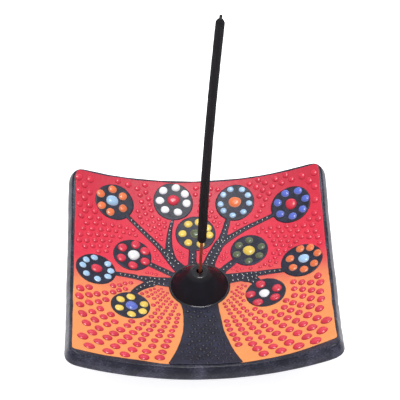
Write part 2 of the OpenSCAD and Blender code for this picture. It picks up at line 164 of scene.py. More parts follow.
class Recipe:
    """The node tree of one material."""

    def __init__(self, name: str) -> None:
        """Starts an empty material of that name."""
        self.material = bpy.data.materials.new(name)
        self.material.use_nodes = True
        self.tree = self.material.node_tree
        self.tree.nodes.clear()

    def node(
        self,
        kind: str,
        settings: dict[str, Any] | None = None,
        inputs: dict[int | str, Any] | None = None,
        output: int | str = 0,
    ) -> Wire:
        """Adds a node of any type: settings first, then its sockets.

        Args:
            kind: The node's type.
            settings: Its properties; "stops" holds a ramp's places and colours.
            inputs: Values or wires, by the socket's name or number.
            output: The socket that the wire comes out of.

        Returns:
            A wire from that output.
        """
        made = self.tree.nodes.new(kind)
        for key, value in (settings or {}).items():
            if key == "stops":
                self._set_stops(made.color_ramp, value)
            else:
                setattr(made, key, value)
        for key, value in (inputs or {}).items():
            if isinstance(value, Wire):
                self.tree.links.new(value.socket, made.inputs[key])
            else:
                made.inputs[key].default_value = value
        return Wire(self, made.outputs[output] if made.outputs else None)

    @staticmethod
    def _set_stops(ramp: bpy.types.ColorRamp, stops: Sequence[tuple[float, Colour]]) -> None:
        """Gives a ramp its stops.

        Args:
            ramp: The node's colour ramp, which starts with two stops.
            stops: The place and colour of each stop, in order.
        """
        while len(ramp.elements) < len(stops):
            ramp.elements.new(1.0)
        for element, (place, colour) in zip(ramp.elements, stops):
            element.position = place
            element.color = colour

    def place(self, stretch: tuple[float, float, float] = (1, 1, 1), shift: float = 0.0) -> Wire:
        """The point on the piece, in its own metres.

        Args:
            stretch: What each axis is multiplied by; a small number draws a pattern out.
            shift: A step to another part of the pattern, in metres.

        Returns:
            The point, as a vector.
        """
        here = self.node("ShaderNodeTexCoord", output="Object")
        return self.node(
            "ShaderNodeVectorMath",
            {"operation": "MULTIPLY_ADD"},
            {0: here, 1: stretch, 2: (shift, -shift, shift)},
        )

    def axis(self, letter: str) -> Wire:
        """One coordinate of the point on the piece, X, Y or Z, in metres."""
        here = self.node("ShaderNodeTexCoord", output="Object")
        return self.node("ShaderNodeSeparateXYZ", inputs={0: here}, output=letter)

    def cloud(
        self,
        lump: float,
        detail: float = 2.0,
        stretch: tuple[float, float, float] = (1, 1, 1),
        shift: float = 0.0,
    ) -> Wire:
        """Soft noise, 0 to 1.

        Args:
            lump: Size of its lumps, in millimetres.
            detail: How many finer octaves it has.
            stretch: What each axis is multiplied by.
            shift: A step to another part of the noise, in metres.

        Returns:
            The noise.
        """
        inputs = {"Vector": self.place(stretch, shift), "Scale": 1 / (lump * MM), "Detail": detail}
        return self.node("ShaderNodeTexNoise", None, inputs)

    def pits(self, spacing: float, shift: float = 0.0) -> Wire:
        """Distance from the nearest of many scattered points, 0 at each point.

        Args:
            spacing: How far apart the points are, in millimetres.
            shift: A step to another part of the pattern, in metres.

        Returns:
            The distance, as a share of the spacing.
        """
        inputs = {"Vector": self.place(shift=shift), "Scale": 1 / (spacing * MM)}
        return self.node("ShaderNodeTexVoronoi", None, inputs)

    def reading(self, name: str) -> Wire:
        """A value that the mesh holds at each point."""
        return self.node("ShaderNodeAttribute", {"attribute_name": name}, output="Fac")

    def mix(self, under: Any, over: Any, share: Wire | float, blend: str = "MIX") -> Wire:
        """One colour over another.

        Args:
            under: The colour or wire that shows where the share is 0.
            over: The colour or wire that shows where the share is 1.
            share: How much of the second shows.
            blend: How the two are mixed.

        Returns:
            The mixed colour.
        """
        settings = {"data_type": "RGBA", "blend_type": blend}
        return self.node("ShaderNodeMix", settings, {0: share, 6: under, 7: over}, output=2)

    def relief(self, height: Wire, depth: float, under: Wire | None = None) -> Wire:
        """A bump that tilts the surface.

        Args:
            height: The height, 0 to 1.
            depth: What a height of 1 stands for, in millimetres.
            under: A coarser relief that this one lies on.

        Returns:
            The normal.
        """
        inputs: dict[int | str, Any] = {"Height": height, "Distance": depth * MM, "Strength": 1.0}
        if under is not None:
            inputs["Normal"] = under
        return self.node("ShaderNodeBump", None, inputs)

    def finish(self, **sockets: Any) -> bpy.types.Material:
        """Ends the recipe in one Principled shader.

        Args:
            **sockets: The shader's sockets by name, with _ for a space.

        Returns:
            The material.
        """
        inputs = {key.replace("_", " "): value for key, value in sockets.items()}
        shader = self.node("ShaderNodeBsdfPrincipled", None, inputs)
        self.node("ShaderNodeOutputMaterial", None, {"Surface": shader})
        return self.material


class Finish(ABC):
    """What a piece is painted or made of."""

    @abstractmethod
    def material(self, name: str) -> bpy.types.Material:
        """Mixes the finish under the name of its slot."""


@dataclass(frozen=True)
class BrushedClay(Finish):
    """Satin black brushed over clay, rubbed through where the clay is handled."""

    black: Colour = srgb(24, 24, 40)
    dusty: Colour = srgb(88, 86, 108)
    bare: Colour = srgb(122, 78, 60)
    bristle: float = 0.9
    pit: float = 1.7

    def material(self, name: str) -> bpy.types.Material:
        """Mixes the finish; the mesh's wear shows the clay through the paint."""
        mix = Recipe(name)
        strokes = mix.cloud(self.bristle, 3.0, (1.0, 1.0, 3.5))
        patches = mix.cloud(9.0, 4.0)
        rubbed = (mix.reading("wear") + 0.55 * patches + 0.25 * strokes).between(0.86, 1.06)
        film = mix.mix(self.black, self.dusty, (patches * strokes).between(0.16, 0.5))
        pit_edge = mix.pits(self.pit).between(0.0, 0.28)
        lumps = mix.relief(mix.cloud(3.2, 3.0, shift=0.4), 0.16)
        pitted = mix.relief(pit_edge, 0.05, lumps)
        return mix.finish(
            Base_Color=mix.mix(film, self.bare, rubbed),
            Roughness=0.28 + 0.22 * strokes + 0.3 * rubbed,
            Specular_IOR_Level=0.3,
            Normal=mix.relief(strokes, 0.05, pitted),
        )


@dataclass(frozen=True)
class GlossBlack(Finish):
    """Smooth black that is satin on the flank, and shines where the mesh says it is wet."""

    black: Colour = srgb(9, 8, 20)
    sheen: Colour = srgb(18, 17, 34)

    def material(self, name: str) -> bpy.types.Material:
        """Mixes the finish, with slow brush waves and a little dust in it."""
        mix = Recipe(name)
        waves = mix.cloud(4.5, 2.0, (1.0, 1.0, 0.5))
        dust = mix.pits(2.6, 0.2).between(0.09, 0.04)
        slow = mix.relief(waves, 0.10)
        return mix.finish(
            Base_Color=mix.mix(self.black, self.sheen, waves.between(0.4, 0.9)),
            Roughness=0.36 + 0.10 * waves + 0.3 * dust,
            Specular_IOR_Level=0.28,
            Coat_Weight=mix.reading("wet"),
            Coat_Roughness=0.06,
            Normal=mix.relief(dust, 0.02, mix.relief(mix.cloud(0.7, 2.0), 0.012, slow)),
        )


@dataclass(frozen=True)
class TreeBlack(Finish):
    """Thick satin black of the tree and the flower discs."""

    black: Colour = srgb(22, 23, 42)
    faded: Colour = srgb(46, 49, 78)

    def material(self, name: str) -> bpy.types.Material:
        """Mixes the finish: laid on with a small brush, so its gloss is patchy."""
        mix = Recipe(name)
        strokes = mix.cloud(0.7, 2.0, (0.45, 1.0, 1.0))
        patches = mix.cloud(5.0, 3.0, shift=0.1)
        return mix.finish(
            Base_Color=mix.mix(self.black, self.faded, (patches * strokes).between(0.15, 0.52)),
            Roughness=0.34 + 0.2 * patches,
            Specular_IOR_Level=0.38,
            Normal=mix.relief(strokes, 0.045, mix.relief(mix.cloud(2.4, 2.0, shift=0.3), 0.10)),
        )


@dataclass(frozen=True)
class ShadedField(Finish):
    """The ground colour, sponged from orange at the front into coral red behind the tree."""

    front_edge: float = -60.0
    back_edge: float = 60.0
    stops: tuple[tuple[float, Colour], ...] = (
        (-58, srgb(250, 158, 90)),
        (-12, srgb(246, 152, 90)),
        (-3, srgb(240, 136, 90)),
        (4, srgb(232, 92, 84)),
        (13, srgb(230, 40, 72)),
        (30, srgb(228, 32, 66)),
        (58, srgb(206, 28, 60)),
    )
    stray: Colour = srgb(120, 34, 44)

    def material(self, name: str) -> bpy.types.Material:
        """Mixes the finish, with a ragged seam where the two colours meet."""
        mix = Recipe(name)
        depth = (self.back_edge - self.front_edge) * MM
        seam = (mix.cloud(7.0, 4.0) - 0.5) * (9 * MM)
        along = (mix.axis("Y") + seam - self.front_edge * MM) * (1 / depth)
        places = [((y - self.front_edge) * MM / depth, colour) for y, colour in self.stops]
        ground = mix.node("ShaderNodeValToRGB", {"stops": places}, {"Fac": along})
        strokes = mix.cloud(1.1, 3.0, (0.35, 1.0, 1.0))
        shade = 0.82 + 0.22 * mix.cloud(4.0, 3.0, shift=0.5) + 0.16 * strokes
        toned = mix.mix(ground, shade, 1.0, "MULTIPLY")
        specks = mix.pits(6.5, 0.7).between(0.045, 0.02)
        return mix.finish(
            Base_Color=mix.mix(toned, self.stray, specks),
            Roughness=0.38 + 0.22 * strokes,
            Normal=mix.relief(strokes, 0.05, mix.relief(mix.cloud(2.0, 2.0, shift=0.2), 0.09)),
        )


@dataclass(frozen=True)
class DropPaint(Finish):
    """Paint let fall in drops, with one colour on the crown and another round the foot; where the foot
    colour is paler, it is a painted reflection round the rim.
    """

    colour: Colour
    # Colour round the foot: a paler one is a painted reflection round the rim, a darker one only makes
    # the foot darker.
    foot: Colour
    gloss: float = 0.26
    coat_ior: float = 1.5

    def material(self, name: str) -> bpy.types.Material:
        """Mixes the finish; the mesh gives each drop a tone of its own."""
        mix = Recipe(name)
        crown = mix.reading("crown") + 0.25 * mix.cloud(0.9, 2.0) - 0.12
        # Blends from the foot colour at the rim to the crown colour on top; a paler foot paints a
        # reflection round the rim.
        paint = mix.mix(self.foot, self.colour, crown.between(0.05, 0.6))
        tone = 0.86 + 0.16 * mix.reading("tone") + 0.05 * mix.cloud(0.45, 2.0, shift=0.3)
        return mix.finish(
            Base_Color=mix.mix(paint, tone, 1.0, "MULTIPLY"),
            Roughness=self.gloss + 0.12 * mix.cloud(1.4, 2.0, shift=0.1),
            Coat_Weight=mix.reading("wet"),
            Coat_Roughness=0.13,
            Coat_IOR=self.coat_ior,
            Normal=mix.relief(mix.cloud(0.6, 2.0, shift=0.6), 0.02),
        )


@dataclass(frozen=True)
class DyedBamboo(Finish):
    """A split bamboo rod, dyed red, with its fibres along it."""

    dyed: Colour = srgb(150, 66, 52)
    pale: Colour = srgb(196, 120, 88)
    dark: Colour = srgb(84, 34, 30)
    soot: Colour = srgb(26, 24, 30)

    def material(self, name: str) -> bpy.types.Material:
        """Mixes the finish, with fibres a tenth of a millimetre wide."""
        mix = Recipe(name)
        fibres = mix.cloud(0.14, 3.0, (1.0, 1.0, 0.03))
        bands = mix.cloud(0.5, 2.0, (1.0, 1.0, 0.06), 0.2)
        wood = mix.mix(self.dyed, self.pale, fibres.between(0.48, 0.75))
        rod = mix.mix(wood, self.dark, bands.between(0.5, 0.8))
        return mix.finish(
            Base_Color=mix.mix(rod, self.soot, mix.reading("soot")),
            Roughness=0.48 + 0.25 * fibres,
            Normal=mix.relief(fibres, 0.05),
        )


@dataclass(frozen=True)
class CharcoalPaste(Finish):
    """Dried incense paste: charcoal and wood dust, rolled round the bamboo."""

    charcoal: Colour = srgb(16, 14, 19)
    ash: Colour = srgb(44, 40, 48)

    def material(self, name: str) -> bpy.types.Material:
        """Mixes the finish, with grains of dust and the long marks of rolling."""
        mix = Recipe(name)
        rolled = mix.cloud(0.8, 2.0, (1.0, 1.0, 0.05))
        grains = mix.pits(0.42).between(0.05, 0.5)
        dust = mix.cloud(0.3, 3.0, shift=0.3)
        return mix.finish(
            Base_Color=mix.mix(self.charcoal, self.ash, (rolled * dust).between(0.22, 0.5)),
            Roughness=0.78 + 0.15 * dust,
            Specular_IOR_Level=0.3,
            Normal=mix.relief(dust, 0.05, mix.relief(grains, 0.04, mix.relief(rolled, 0.10))),
        )


@dataclass(frozen=True)
class PaleFloor(Finish):
    """The plain pale board that the holder stands on."""

    pale: Colour = (0.90, 0.90, 0.91, 1.0)
    glow: float = 0.9

    def material(self, name: str) -> bpy.types.Material:
        """Mixes the finish, with a trace of paper grain."""
        mix = Recipe(name)
        return mix.finish(
            Base_Color=self.pale,
            Roughness=0.9,
            Specular_IOR_Level=0.1,
            Emission_Color=self.pale,
            Emission_Strength=self.glow,
            Normal=mix.relief(mix.cloud(1.5), 0.01),
        )


FINISHES: dict[str, Finish] = {
    "black_clay": BrushedClay(),
    "gloss_black": GlossBlack(),
    "bamboo": DyedBamboo(),
    "incense_paste": CharcoalPaste(),
    "field_paint": ShadedField(),
    "black_paint": TreeBlack(),
    # Each drop finish gives the crown colour, then the foot colour. The paler feet of the orange, yellow,
    # blue, pale blue and olive drops are a painted reflection round the rim; the black, red, crimson and
    # white drops are only darker round the foot.
    "black_dots": DropPaint(srgb(26, 27, 44), srgb(18, 18, 32), gloss=0.26, coat_ior=2.0),
    "red_dots": DropPaint(srgb(228, 44, 74), srgb(196, 32, 60)),
    "crimson_dots": DropPaint(srgb(224, 48, 76), srgb(180, 32, 56)),
    "orange_dots": DropPaint(srgb(244, 122, 66), srgb(250, 166, 132)),
    "white_dots": DropPaint(srgb(250, 252, 255), srgb(232, 236, 246)),
    "yellow_dots": DropPaint(srgb(248, 212, 88), srgb(244, 222, 130)),
    "blue_dots": DropPaint(srgb(92, 114, 214), srgb(142, 150, 226)),
    "pale_blue_dots": DropPaint(srgb(172, 212, 248), srgb(196, 220, 248)),
    "olive_dots": DropPaint(srgb(92, 104, 72), srgb(150, 148, 130)),
}


# ---------- Shapes ----------


@dataclass
class Shape:
    """A mesh before it is made: points in millimetres, faces, and values at the points."""

    points: np.ndarray
    faces: list[Sequence[int]]
    values: dict[str, np.ndarray] = field(default_factory=dict)


@dataclass
class Part:
    """A piece to be made, the frame's node that it stands for, and its body."""

    name: str
    node: str
    shape: Shape
    body: Body = Body.HOLDER


class SubAssembly(ABC):
    """A group of pieces that are built and dressed together."""

    @abstractmethod
    def build(self) -> list[Part]:
        """Shapes every piece of the group."""

    def dress(self, bench: Workbench) -> None:
        """Makes the pieces and gives each its finish.

        Args:
            bench: Where pieces are made.
        """
        for part in self.build():
            bench.make(part)


class Workbench:
    """Makes pieces: mesh, finish and body, and hides the frame's node that each one stands for."""

    crease_deg = 48.0

    def __init__(self, record: dict[str, Any]) -> None:
        """Reads which slot each node takes its finish from.

        Args:
            record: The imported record.
        """
        self.slots = {part["node"]: part["material_slot"] for part in record["subparts"]}
        self.mixed: dict[str, bpy.types.Material] = {}

    def finish(self, slot: str) -> bpy.types.Material:
        """The material of a slot, mixed once.

        Args:
            slot: The slot's name.

        Returns:
            The material.
        """
        if slot not in self.mixed:
            self.mixed[slot] = FINISHES[slot].material(slot)
        return self.mixed[slot]

    def make(self, part: Part) -> bpy.types.Object:
        """Turns a part into a piece.

        Args:
            part: What to make.

        Returns:
            The piece.
        """
        mesh = bpy.data.meshes.new(part.name)
        mesh.from_pydata((part.shape.points * MM).tolist(), [], part.shape.faces)
        mesh.shade_smooth()
        mesh.set_sharp_from_angle(angle=math.radians(self.crease_deg))
        for name, values in part.shape.values.items():
            layer = mesh.attributes.new(name, "FLOAT", "POINT")
            layer.data.foreach_set("value", np.asarray(values, np.float32))
        slot = self.slots[part.node]
        mesh.materials.append(self.finish(slot))
        piece = bpy.data.objects.new(part.name, mesh)
        bpy.context.scene.collection.objects.link(piece)
        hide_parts(part.node)
        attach(piece, part.body.value)
        LOG.info("%s: %d faces, %s, on %s", part.name, len(mesh.polygons), slot, part.body.value)
        return piece


# ---------- Reading the frame ----------


class CadMesh:
    """A node's mesh in millimetres, with the points that its creases split joined again."""

    def __init__(self, node: str) -> None:
        """Reads the mesh.

        Args:
            node: The node's name.
        """
        mesh = frame["nodes"][node].data
        raw = np.empty(len(mesh.vertices) * 3, np.float32)
        mesh.vertices.foreach_get("co", raw)
        mesh.calc_loop_triangles()
        corners = np.empty(len(mesh.loop_triangles) * 3, np.int32)
        mesh.loop_triangles.foreach_get("vertices", corners)
        places = np.round(raw.reshape(-1, 3).astype(float) / MM, 4)
        self.points, joined = np.unique(places, axis=0, return_inverse=True)
        self.triangles = joined.reshape(-1)[corners.reshape(-1, 3)]

    def steepness(self) -> np.ndarray:
        """How far each triangle looks up: 1 for level, 0 for a wall, -1 for a ceiling."""
        a, b, c = (self.points[self.triangles[:, k]] for k in range(3))
        normal = np.cross(b - a, c - a)
        return normal[:, 2] / np.maximum(np.linalg.norm(normal, axis=1), 1e-12)

    def sphere(self, chosen: np.ndarray) -> tuple[float, float]:
        """The sphere about the Z axis that the chosen triangles lie on.

        Args:
            chosen: True for each triangle to use.

        Returns:
            The height of its centre and its radius.
        """
        p = self.points[np.unique(self.triangles[chosen])]
        table = np.column_stack([2 * p[:, 2], np.ones(len(p))])
        (centre_z, rest), *_ = np.linalg.lstsq(table, (p**2).sum(axis=1), rcond=None)
        return float(centre_z), math.sqrt(rest + centre_z**2)

    def face_loops(self) -> list[np.ndarray]:
        """The outlines of the upper face in plan, with the face on the left of each."""
        upper = self.triangles[self.steepness() > 0.6]
        edges = {(int(t[k]), int(t[(k + 1) % 3])) for t in upper for k in range(3)}
        following = {a: b for a, b in sorted(edges) if (b, a) not in edges}
        loops = []
        while following:
            start, end = next(iter(following.items()))
            loop = [start]
            del following[start]
            while end in following:
                loop.append(end)
                end = following.pop(end)
            if len(loop) > 2:
                loops.append(self.points[loop][:, :2])
        return loops

    def islands(self) -> list[np.ndarray]:
        """The points of each separate solid of the node."""
        label = np.arange(len(self.points))
        settled = False
        while not settled:
            lowest = label[self.triangles].min(axis=1)
            lower = label.copy()
            np.minimum.at(lower, self.triangles.ravel(), np.repeat(lowest, 3))
            settled = bool((lower == label).all())
            label = lower
        return [self.points[label == k] for k in np.unique(label)]


@dataclass(frozen=True)
class Bowl:
    """The sphere that the dish's face lies on, with its centre above the origin."""

    centre_z: float
    face_r: float

    @classmethod
    def of_dish(cls) -> Bowl:
        """Reads the sphere from the frame's dish."""
        dish = CadMesh("dish")
        return cls(*dish.sphere(dish.steepness() > 0.6))

    def points(self, plan: np.ndarray, lift: np.ndarray | float) -> np.ndarray:
        """Points over a plan, at a height above the clay.

        Args:
            plan: x and y of each point.
            lift: Height above the face, along its normal.

        Returns:
            x, y and z of each point.
        """
        depth = np.sqrt((self.face_r - lift) ** 2 - (plan**2).sum(axis=1))
        return np.column_stack([plan, self.centre_z - depth])


# ---------- Lines in plan ----------


def resampled(loop: np.ndarray, step: float) -> np.ndarray:
    """A closed line with points at even steps.

    Args:
        loop: Its points.
        step: The distance between the new points, about.

    Returns:
        The new points.
    """
    closed = np.vstack([loop, loop[:1]])
    along = np.r_[0, np.cumsum(np.linalg.norm(np.diff(closed, axis=0), axis=1))]
    count = max(12, round(along[-1] / step))
    places = np.linspace(0, along[-1], count, endpoint=False)
    return np.column_stack([np.interp(places, along, closed[:, k]) for k in range(2)])


def outwards(loop: np.ndarray) -> np.ndarray:
    """The unit direction away from the face at each point of its outline."""
    tangent = np.roll(loop, -1, axis=0) - np.roll(loop, 1, axis=0)
    tangent /= np.maximum(np.linalg.norm(tangent, axis=1), 1e-9)[:, None]
    return np.column_stack([tangent[:, 1], -tangent[:, 0]])


def inside(points: np.ndarray, loops: Sequence[np.ndarray], batch: int = 4096) -> np.ndarray:
    """Which points lie inside an area with holes.

    Args:
        points: The points to try.
        loops: The area's outlines.
        batch: How many points are tried at a time.

    Returns:
        True for each point inside.
    """
    within = np.zeros(len(points), bool)
    for loop in loops:
        ax, ay = loop.T
        bx, by = np.roll(loop, -1, axis=0).T
        rise = np.where(by == ay, 1.0, by - ay)
        for first in range(0, len(points), batch):
            x, y = points[first:first + batch, :1], points[first:first + batch, 1:]
            crossed = ((ay > y) != (by > y)) & (x < ax + (y - ay) / rise * (bx - ax))
            within[first:first + batch] ^= crossed.sum(axis=1) % 2 == 1
    return within


def nearest(points: np.ndarray, targets: np.ndarray) -> np.ndarray:
    """The distance in plan from each point to the nearest target."""
    if not len(targets):
        return np.full(len(points), 1e3)
    tree = KDTree(len(targets))
    for index, (x, y) in enumerate(targets):
        tree.insert((x, y, 0), index)
    tree.balance()
    return np.array([tree.find((x, y, 0))[2] for x, y in points])


def rise_to(value: np.ndarray) -> np.ndarray:
    """A smooth step from 0 at 0 to 1 at 1."""
    t = np.clip(value, 0, 1)
    return t * t * (3 - 2 * t)


@dataclass(frozen=True)
class Hand:
    """The unsteadiness of the hand that painted: a slow drift and a quick tremble."""

    drift: float = 0.24
    drift_length: float = 9.0
    tremble: float = 0.07
    tremble_length: float = 2.2
    steady_r: float = 15.0
    steady_fade: float = 6.0

    def moved(self, plan: np.ndarray) -> np.ndarray:
        """Where the brush really put points of the plan; beside the socket it is steady.

        Args:
            plan: x and y of each point.

        Returns:
            The moved points.
        """
        slow = self._field(plan / self.drift_length, 3.1) * self.drift
        quick = self._field(plan / self.tremble_length, 7.7) * self.tremble
        reach = np.linalg.norm(plan, axis=1)
        freedom = rise_to((reach - self.steady_r) / self.steady_fade)
        return plan + (slow + quick) * freedom[:, None]

    @staticmethod
    def _field(plan: np.ndarray, level: float) -> np.ndarray:
        """A noise vector in plan at each point."""
        return np.array([noise.noise_vector(Vector((x, y, level)))[:2] for x, y in plan])


def unevenness(points: np.ndarray, length: float, level: float = 0.0) -> np.ndarray:
    """Smooth noise, -1 to 1, at points in plan or in space.

    Args:
        points: The points.
        length: Size of the noise's lumps.
        level: A step to another part of the noise.

    Returns:
        One value for each point.
    """
    flat = points.shape[1] == 2
    solid = np.column_stack([points, np.zeros(len(points))]) if flat else points
    return np.array([noise.noise(Vector(p) + Vector((level,) * 3)) for p in solid / length])


# ---------- Paint laid in coats ----------


@dataclass(frozen=True)
class Coat:
    """How a coat of paint lies: its top, its thickness and how wide its edge rounds down."""

    top: float
    thickness: float
    edge: float
    swell: float
    root: float = -0.3
    step: float = 0.5
    mesh: float = 1.4

    def lift(self, plan: np.ndarray, depth: np.ndarray) -> np.ndarray:
        """Height of the paint above the clay.

        Args:
            plan: x and y of each point.
            depth: Distance of each point from the coat's free edge.

        Returns:
            The heights.
        """
        share = 1 - np.clip(depth / self.edge, 0, 1)
        rounded = 1 - np.sqrt(1 - share**2)
        waves = unevenness(plan, 3.5, self.top) * self.swell * rise_to(depth / self.edge)
        return self.top - self.thickness * rounded + waves


class CoatMesher:
    """Turns an area in plan into a closed coat of paint on the bowl."""

    rings = (0.06, 0.16, 0.32, 0.6)
    crowding = 0.75
    edge_reach = 1.2
    grid_gap = (0.7, 0.36)

    def __init__(self, bowl: Bowl, coat: Coat) -> None:
        """Keeps where the paint lies and how.

        Args:
            bowl: The sphere under the paint.
            coat: How the paint lies.
        """
        self.bowl = bowl
        self.coat = coat

    def shape(self, loops: list[np.ndarray], free_edge: np.ndarray) -> Shape:
        """Meshes one area.

        Args:
            loops: The area's outlines.
            free_edge: Points of every edge that rounds down, in this area or beside it.

        Returns:
            The closed mesh.
        """
        plan, triangles = self._triangulated(loops, free_edge)
        depth = nearest(plan, free_edge)
        upper = self.bowl.points(plan, self.coat.lift(plan, depth))
        lower = self.bowl.points(plan, self.coat.root)
        count = len(plan)
        edges = {(t[k], t[(k + 1) % 3]) for t in triangles for k in range(3)}
        rim = [(a, b) for a, b in sorted(edges) if (b, a) not in edges]
        faces: list[Sequence[int]] = [tuple(t) for t in triangles]
        faces += [(t[2] + count, t[1] + count, t[0] + count) for t in triangles]
        faces += [(b, a, a + count, b + count) for a, b in rim]
        return Shape(np.vstack([upper, lower]), faces)

    def _triangulated(
        self, loops: list[np.ndarray], free_edge: np.ndarray
    ) -> tuple[np.ndarray, list[tuple[int, int, int]]]:
        """Fills the area with triangles that are fine beside its free edge.

        Args:
            loops: The area's outlines.
            free_edge: Points of every edge that rounds down.

        Returns:
            The points in plan, and the triangles.
        """
        border = np.vstack(loops)
        edges, first = [], 0
        for loop in loops:
            count = len(loop)
            edges += [(first + k, first + (k + 1) % count) for k in range(count)]
            first += count
        inner = [loop - outwards(loop) * step for loop in loops for step in self.rings]
        steps = np.concatenate([np.full(len(loop), step) for loop in loops for step in self.rings])
        ring = np.vstack(inner)
        ring_depth = nearest(ring, border)
        beside = nearest(ring, free_edge) < self.edge_reach
        ring = ring[(ring_depth > self.crowding * steps) & beside]
        grid = self._grid(border.min(axis=0), border.max(axis=0))
        share, clear = self.grid_gap
        grid = grid[nearest(grid, border) > share * self.coat.step + clear]
        extra = np.vstack([ring, grid])
        extra = extra[inside(extra, loops)]
        drawn = [Vector(p) for p in np.vstack([border, extra])]
        verts, _, faces, *_ = delaunay_2d_cdt(drawn, edges, [], 0, 1e-5, False)
        plan = np.array([tuple(v) for v in verts])
        corners = np.array([tuple(f) for f in faces if len(f) == 3])
        kept = corners[inside(plan[corners].mean(axis=1), loops)]
        used, renumbered = np.unique(kept, return_inverse=True)
        return plan[used], [tuple(int(i) for i in t) for t in renumbered.reshape(-1, 3)]

    def _grid(self, low: np.ndarray, high: np.ndarray) -> np.ndarray:
        """Points of a triangular grid over a box in plan."""
        pitch = self.coat.mesh
        rows = np.arange(low[1], high[1], pitch * math.sqrt(3) / 2)
        columns = np.arange(low[0], high[0] + pitch, pitch)
        x, y = np.meshgrid(columns, rows)
        x = x + np.where(np.arange(len(rows)) % 2 == 1, pitch / 2, 0)[:, None]
        return np.column_stack([x.ravel(), y.ravel()])


@dataclass
class PaintedGround(SubAssembly):
    """The orange and red field that lies on the clay's face."""

    bowl: Bowl
    hand: Hand
    coat: Coat = Coat(top=0.2, thickness=0.2, edge=0.35, swell=0.015, mesh=1.8)
    line_step: float = 0.65
    easing: int = 3
    socket_reach: float = 16.0
    tuck: float = 0.35

    def build(self) -> list[Part]:
        """Meshes the field; where it meets the socket it runs in under the slip."""
        loops, free = [], []
        for loop in CadMesh("field_paint").face_loops():
            line = relaxed(resampled(loop, self.line_step), self.easing)
            joined = np.linalg.norm(line, axis=1) < self.socket_reach
            line = self.hand.moved(line) + outwards(line) * np.where(joined, self.tuck, 0)[:, None]
            loops.append(line)
            free.append(line[~joined])
        shape = CoatMesher(self.bowl, self.coat).shape(loops, np.vstack(free))
        return [Part("painted_field", "field_paint", shape)]


def relaxed(loop: np.ndarray, times: int, fixed: np.ndarray | None = None) -> np.ndarray:
    """A closed line with its kinks eased out.

    Args:
        loop: Its points.
        times: How often each point moves half way to the middle of its neighbours.
        fixed: True for each point that stays.

    Returns:
        The eased points.
    """
    held = np.zeros(len(loop), bool) if fixed is None else fixed
    for _ in range(times):
        middle = (np.roll(loop, 1, axis=0) + np.roll(loop, -1, axis=0)) / 2
        loop = np.where(held[:, None], loop, (loop + middle) / 2)
    return loop


@dataclass
class PaintedTree(SubAssembly):
    """The black trunk, limbs and twigs, and the black disc behind each flower."""

    bowl: Bowl
    hand: Hand
    flowers: int
    coat: Coat = Coat(top=0.5, thickness=0.34, edge=0.55, swell=0.02)
    probe: float = 0.2
    tuck: float = 0.4
    ring_r: float = 15.1
    sink: float = 0.004
    easing: int = 5
    strokes: tuple[str, ...] = (
        "trunk_paint", "back_left_limb", "back_middle_limb", "back_right_limb",
        "left_twig", "right_twig", "left_limb", "right_limb",
    )

    def build(self) -> list[Part]:
        """Meshes every coat of the tree.

        Where two of them join, neither edge rounds down, and a limb runs on a little way
        under a flower's disc or the slip, so that the black is whole.
        """
        discs = [f"flower_{k:02d}_disc" for k in range(1, self.flowers + 1)]
        names = [*discs, *self.strokes]
        raw = {n: [resampled(p, self.coat.step) for p in CadMesh(n).face_loops()] for n in names}
        free = {n: [self._free(n, loop, raw) for loop in raw[n]] for n in names}
        drawn = {n: [self._drawn(n in discs, *pair) for pair in zip(raw[n], free[n])] for n in names}
        edges = [line[kept] for n in names for line, kept in zip(drawn[n], free[n])]
        free_edge = np.vstack(edges)
        parts = []
        for order, name in enumerate(names):
            lowered = Coat(self.coat.top - self.sink * max(0, order - len(discs) + 1),
                           self.coat.thickness, self.coat.edge, self.coat.swell)
            shape = CoatMesher(self.bowl, lowered).shape(drawn[name], free_edge)
            parts.append(Part(f"{name}_coat", name, shape))
        return parts

    def _free(self, name: str, loop: np.ndarray, raw: dict[str, list[np.ndarray]]) -> np.ndarray:
        """Which points of an outline have bare field outside them.

        Args:
            name: The node that the outline belongs to.
            loop: The outline.
            raw: The outlines of every coat.

        Returns:
            True for each free point.
        """
        beyond = loop + outwards(loop) * self.probe
        taken = np.linalg.norm(beyond, axis=1) < self.ring_r
        for other, loops in raw.items():
            if other != name:
                taken |= inside(beyond, loops)
        return ~taken

    def _drawn(self, is_disc: bool, loop: np.ndarray, free: np.ndarray) -> np.ndarray:
        """An outline as the hand drew it.

        Args:
            is_disc: Whether it is a flower's disc, which limbs run under.
            loop: The outline.
            free: Which of its points are free.

        Returns:
            The drawn outline.
        """
        line = relaxed(loop, self.easing, ~free)
        tucked = np.where(free | is_disc, 0.0, self.tuck)
        return self.hand.moved(line + outwards(line) * tucked[:, None])


# ---------- Paint laid in drops ----------


@dataclass(frozen=True)
class Drop:
    """One drop of paint: where it stands, how wide it is and how it settled."""

    centre: np.ndarray
    up: np.ndarray
    radius: float


@dataclass(frozen=True)
class DropForm:
    """How drops of one kind settle, and how wet they look; heights are shares of the radius."""

    rise: float = 0.40
    dimple: float = 0.0
    dimple_r: float = 0.42
    crown_power: float = 2.3
    flank_power: float = 0.72
    wobble: float = 0.035
    slump: float = 0.10
    stations: tuple[float, ...] = (1.0, 0.965, 0.90, 0.80, 0.66, 0.50, 0.33, 0.16)
    sides: int = 22
    bed: float = 0.30
    bed_share: float = 0.97
    spread: float = 1.0
    wet: float = 0.25

    def height(self, share: float) -> float:
        """Height of the drop's outline at a share of its radius, as a share of its rise."""
        dome = (1 - share**self.crown_power) ** self.flank_power
        return dome - self.dimple * math.exp(-((share / self.dimple_r) ** 2))


